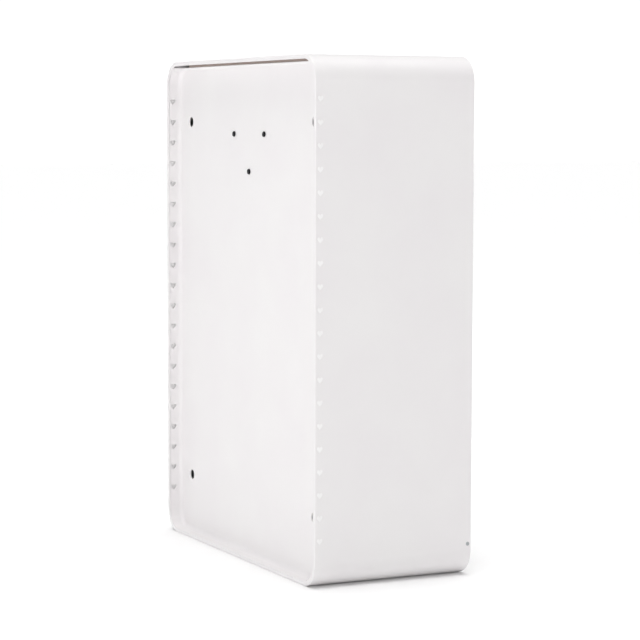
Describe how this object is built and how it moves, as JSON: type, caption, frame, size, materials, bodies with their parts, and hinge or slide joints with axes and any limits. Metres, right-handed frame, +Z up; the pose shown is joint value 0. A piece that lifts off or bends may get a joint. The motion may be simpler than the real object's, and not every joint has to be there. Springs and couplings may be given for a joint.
{
  "type": "wall battery unit",
  "caption": "Wall-mounted home battery: white sheet-steel cabinet with vented recessed back, removable front cover, cell modules, inverter and breakers inside.",
  "frame": {"origin": "centre of the underside of the cabinet, at base level", "axes": "+X across the width, +Y towards the wall side, +Z up; the front cover faces -Y"},
  "size_m": [0.5, 0.232, 0.69],
  "materials": {
    "white_powder_coat": "white powder coat, fine orange peel, satin",
    "zinc_steel": "zinc-plated sheet steel",
    "gasket_foam": "closed-cell EPDM foam",
    "black_screws": "black oxide steel",
    "zinc_screws": "zinc-plated steel",
    "frosted_lens": "frosted polycarbonate light guide",
    "circuit_board": "green solder mask on glass-epoxy",
    "black_plastic": "moulded black nylon",
    "white_plastic": "moulded white ABS",
    "grey_plastic": "moulded grey nylon",
    "orange_plastic": "moulded orange nylon",
    "bare_aluminium": "extruded aluminium",
    "cell_wrap": "aluminium can in blue shrink wrap",
    "fuse_ceramic": "ceramic body with tinned blades",
    "brass": "brass",
    "black_cable": "black silicone cable",
    "red_cable": "red silicone cable"
  },
  "bodies": {
    "cabinet": {"outer_sleeve": "white_powder_coat", "rear_panel": "white_powder_coat", "front_frame": "zinc_steel", "cover_gasket": "gasket_foam", "rear_screw_left": "black_screws", "rear_screw_right": "black_screws", "rear_screw_lower": "black_screws", "cover_screw_left": "zinc_screws", "cover_screw_right": "zinc_screws", "lower_cradle": "zinc_steel", "upper_cradle": "zinc_steel", "lower_busbar_carrier": "orange_plastic", "upper_busbar_carrier": "orange_plastic", "inverter_bracket": "zinc_steel", "inverter_heatsink": "bare_aluminium", "inverter_board": "circuit_board", "inverter_cover": "zinc_steel", "fan_frame": "black_plastic", "electronics_plate": "zinc_steel", "din_rail": "zinc_steel", "dc_breaker": "white_plastic", "ac_breaker": "white_plastic", "terminal_block": "grey_plastic", "fuse_holder": "black_plastic", "main_fuse": "fuse_ceramic", "contactor": "black_plastic", "bms_board": "circuit_board", "comms_board": "circuit_board", "gland_plate": "zinc_steel", "ac_gland": "black_plastic", "solar_gland": "black_plastic", "data_gland": "black_plastic", "earth_stud": "brass", "module_link_cable": "black_cable", "battery_positive_cable": "red_cable", "battery_negative_cable": "black_cable", "lower_cell_1": "cell_wrap", "lower_cell_2": "cell_wrap", "lower_cell_3": "cell_wrap", "lower_cell_4": "cell_wrap", "lower_cell_5": "cell_wrap", "lower_cell_6": "cell_wrap", "lower_cell_7": "cell_wrap", "lower_cell_8": "cell_wrap", "upper_cell_1": "cell_wrap", "upper_cell_2": "cell_wrap", "upper_cell_3": "cell_wrap", "upper_cell_4": "cell_wrap", "upper_cell_5": "cell_wrap", "upper_cell_6": "cell_wrap", "upper_cell_7": "cell_wrap", "upper_cell_8": "cell_wrap"},
    "cover": {"front_cover": "white_powder_coat", "status_lens": "frosted_lens", "status_board": "circuit_board", "button_housing": "black_plastic"},
    "button": {"power_button": "white_plastic"},
    "dc_lever": {"dc_breaker_lever": "black_plastic"},
    "ac_lever": {"ac_breaker_lever": "black_plastic"},
    "rotor": {"fan_rotor": "black_plastic"}
  },
  "joints": [
    {"name": "cover_lift_off", "type": "slide", "parent": "cabinet", "child": "cover", "axis": [0, -1, 0], "range_m": [0, 0.25]},
    {"name": "button_press", "type": "slide", "parent": "cover", "child": "button", "axis": [0, 1, 0], "range_m": [0, 0.0015], "stiffness_N_per_m": 600, "springref_m": -0.0005},
    {"name": "dc_breaker_toggle", "type": "hinge", "parent": "cabinet", "child": "dc_lever", "pos_m": [-0.1, -0.0658, 0.405], "axis": [1, 0, 0], "range_deg": [0, 70]},
    {"name": "ac_breaker_toggle", "type": "hinge", "parent": "cabinet", "child": "ac_lever", "pos_m": [-0.05, -0.0658, 0.405], "axis": [1, 0, 0], "range_deg": [0, 70]},
    {"name": "fan_spin", "type": "hinge", "parent": "cabinet", "child": "rotor", "pos_m": [0, 0.0605, 0.46], "axis": [0, 0, 1], "continuous": true}
  ]
}
